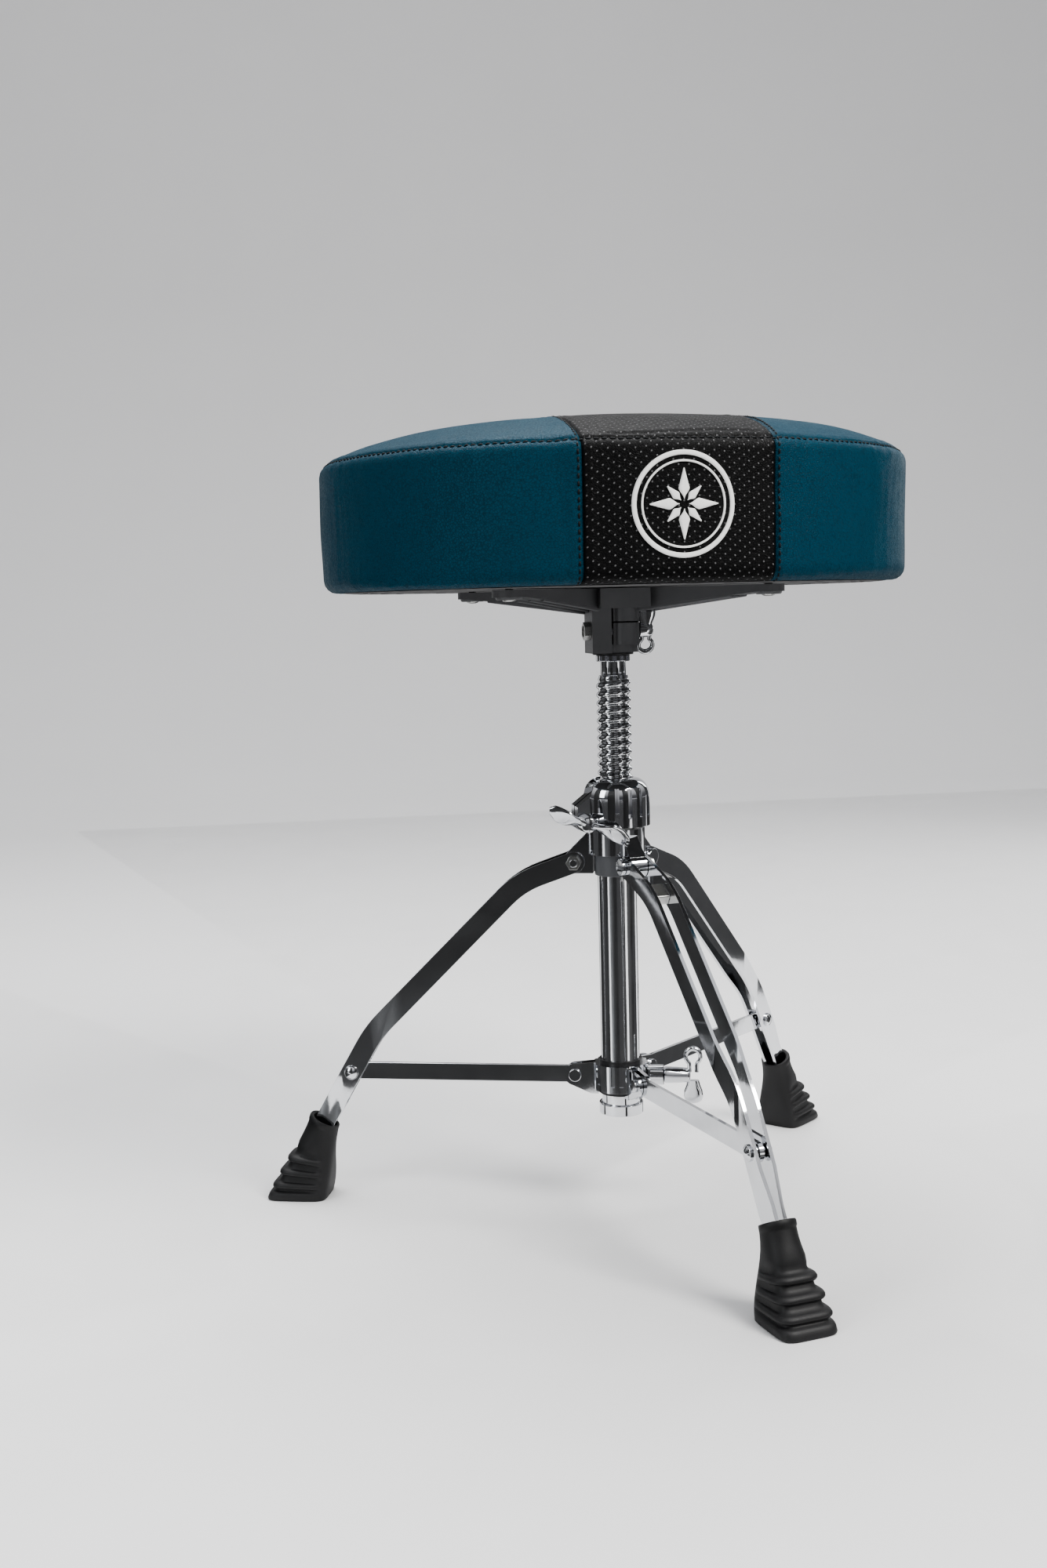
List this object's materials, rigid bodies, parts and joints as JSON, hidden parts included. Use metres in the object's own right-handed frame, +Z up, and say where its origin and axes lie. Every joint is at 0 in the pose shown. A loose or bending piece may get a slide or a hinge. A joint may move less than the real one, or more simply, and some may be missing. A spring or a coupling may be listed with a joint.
{
  "type": "drum throne",
  "caption": "Round padded drum seat on a threaded height-adjusting spindle with a folding, double-braced tripod base and rubber feet.",
  "frame": {"origin": "on the axis of the post, at the plane of the floor under the three feet", "axes": "+Z up along the post; -Y is the front, where the black band comes down the seat's side; the front leg points 13 degrees to the right of it, seen from the front"},
  "size_m": [0.4795, 0.4809, 0.575],
  "materials": {
    "chrome": "polished chrome plate",
    "teal_leatherette": "grained leatherette, semi-matt",
    "black_leatherette": "perforated leatherette, semi-matt",
    "cast_grey": "grey powder coat on a casting",
    "zinc_steel": "zinc plated",
    "rubber": "moulded rubber",
    "grey_plastic": "moulded nylon",
    "black_plastic": "moulded acetal",
    "plywood": "raw plywood",
    "foam": "cut foam",
    "black_cloth": "non-woven cloth"
  },
  "bodies": {
    "base": {"base_tube": "chrome", "tube_end_cap": "chrome", "height_nut": "zinc_steel", "leg_ring": "chrome", "ring_sleeve": "grey_plastic", "upper_clamp": "chrome", "upper_clamp_nut": "zinc_steel", "leg_pivot_bolts": "chrome", "leg_pivot_nuts": "zinc_steel"},
    "upper_wing": {"upper_wing_bolt": "chrome"},
    "slider": {"lower_collar": "chrome", "collar_liner": "black_plastic", "strut_pivot_pins": "chrome"},
    "lower_wing": {"lower_wing_bolt": "chrome"},
    "guide": {"guide_bush": "black_plastic"},
    "screw": {"spindle": "chrome", "spindle_clip": "zinc_steel"},
    "seat": {"hub_casting": "cast_grey", "hub_bushing": "black_plastic", "hub_clamp_nut": "zinc_steel", "plate_screws": "zinc_steel", "tee_nuts": "zinc_steel", "plywood_base": "plywood", "underside_cloth": "black_cloth", "foam_pad": "foam", "cover_left_panel": "teal_leatherette", "cover_right_panel": "teal_leatherette", "cover_band": "black_leatherette"},
    "hub_wing": {"hub_wing_bolt": "chrome"},
    "front_leg": {"front_leg_near_strip": "chrome", "front_leg_far_strip": "chrome", "front_leg_spacer": "zinc_steel", "front_leg_rivet": "chrome", "front_foot": "rubber"},
    "front_brace": {"front_strut": "chrome", "front_strut_bush": "chrome"},
    "right_leg": {"right_leg_near_strip": "chrome", "right_leg_far_strip": "chrome", "right_leg_spacer": "zinc_steel", "right_leg_rivet": "chrome", "right_foot": "rubber"},
    "right_brace": {"right_strut": "chrome", "right_strut_bush": "chrome"},
    "left_leg": {"left_leg_near_strip": "chrome", "left_leg_far_strip": "chrome", "left_leg_spacer": "zinc_steel", "left_leg_rivet": "chrome", "left_foot": "rubber"},
    "left_brace": {"left_strut": "chrome", "left_strut_bush": "chrome"}
  },
  "joints": [
    {"name": "seat_height", "type": "slide", "parent": "base", "child": "guide", "axis": [0, 0, 1], "range_m": [-0.0762, 0.06985]},
    {"name": "spindle_turn", "type": "hinge", "parent": "guide", "child": "screw", "pos_m": [0, 0, 0.3], "axis": [0, 0, 1], "range_deg": [-4320.5, 3960.5]},
    {"name": "seat_swivel", "type": "hinge", "parent": "screw", "child": "seat", "pos_m": [0, 0, 0.43], "axis": [0, 0, 1], "continuous": true},
    {"name": "collar_slide", "type": "slide", "parent": "base", "child": "slider", "axis": [0, 0, 1], "range_m": [0, 0.09485]},
    {"name": "front_leg_fold", "type": "hinge", "parent": "base", "child": "front_leg", "pos_m": [0.00666, -0.03028, 0.26], "axis": [0.9767, 0.2147, 0], "range_deg": [0, 39]},
    {"name": "front_strut_fold", "type": "hinge", "parent": "slider", "child": "front_brace", "pos_m": [0.0073, -0.03321, 0.09841], "axis": [0.9767, 0.2147, 0], "range_deg": [0, 79.64]},
    {"name": "right_leg_fold", "type": "hinge", "parent": "base", "child": "right_leg", "pos_m": [0.02289, 0.0209, 0.26], "axis": [-0.6743, 0.7385, 0], "range_deg": [0, 39]},
    {"name": "right_strut_fold", "type": "hinge", "parent": "slider", "child": "right_brace", "pos_m": [0.02511, 0.02293, 0.09841], "axis": [-0.6743, 0.7385, 0], "range_deg": [0, 79.64]},
    {"name": "left_leg_fold", "type": "hinge", "parent": "base", "child": "left_leg", "pos_m": [-0.02955, 0.00937, 0.26], "axis": [-0.3024, -0.9532, 0], "range_deg": [0, 39]},
    {"name": "left_strut_fold", "type": "hinge", "parent": "slider", "child": "left_brace", "pos_m": [-0.03241, 0.01028, 0.09841], "axis": [-0.3024, -0.9532, 0], "range_deg": [0, 79.64]},
    {"name": "upper_wing_turn", "type": "hinge", "parent": "base", "child": "upper_wing", "pos_m": [-0.026, -0.02, 0.291], "axis": [0, -1, 0], "range_deg": [0, 720]},
    {"name": "lower_wing_turn", "type": "hinge", "parent": "slider", "child": "lower_wing", "pos_m": [0.0286, -0.00907, 0.09841], "axis": [0.9532, -0.3024, 0], "range_deg": [0, 720]},
    {"name": "hub_wing_turn", "type": "hinge", "parent": "seat", "child": "hub_wing", "pos_m": [0.01, -0.025, 0.43], "axis": [1, 0, 0], "range_deg": [0, 720]}
  ],
  "couplings": [
    {"joint": "spindle_turn", "follows": "seat_height", "rad_per_m": 989.48},
    {"joint": "front_leg_fold", "follows": "collar_slide", "rad_per_m": 7.1764},
    {"joint": "front_strut_fold", "follows": "collar_slide", "rad_per_m": 14.655},
    {"joint": "right_leg_fold", "follows": "collar_slide", "rad_per_m": 7.1764},
    {"joint": "right_strut_fold", "follows": "collar_slide", "rad_per_m": 14.655},
    {"joint": "left_leg_fold", "follows": "collar_slide", "rad_per_m": 7.1764},
    {"joint": "left_strut_fold", "follows": "collar_slide", "rad_per_m": 14.655}
  ]
}
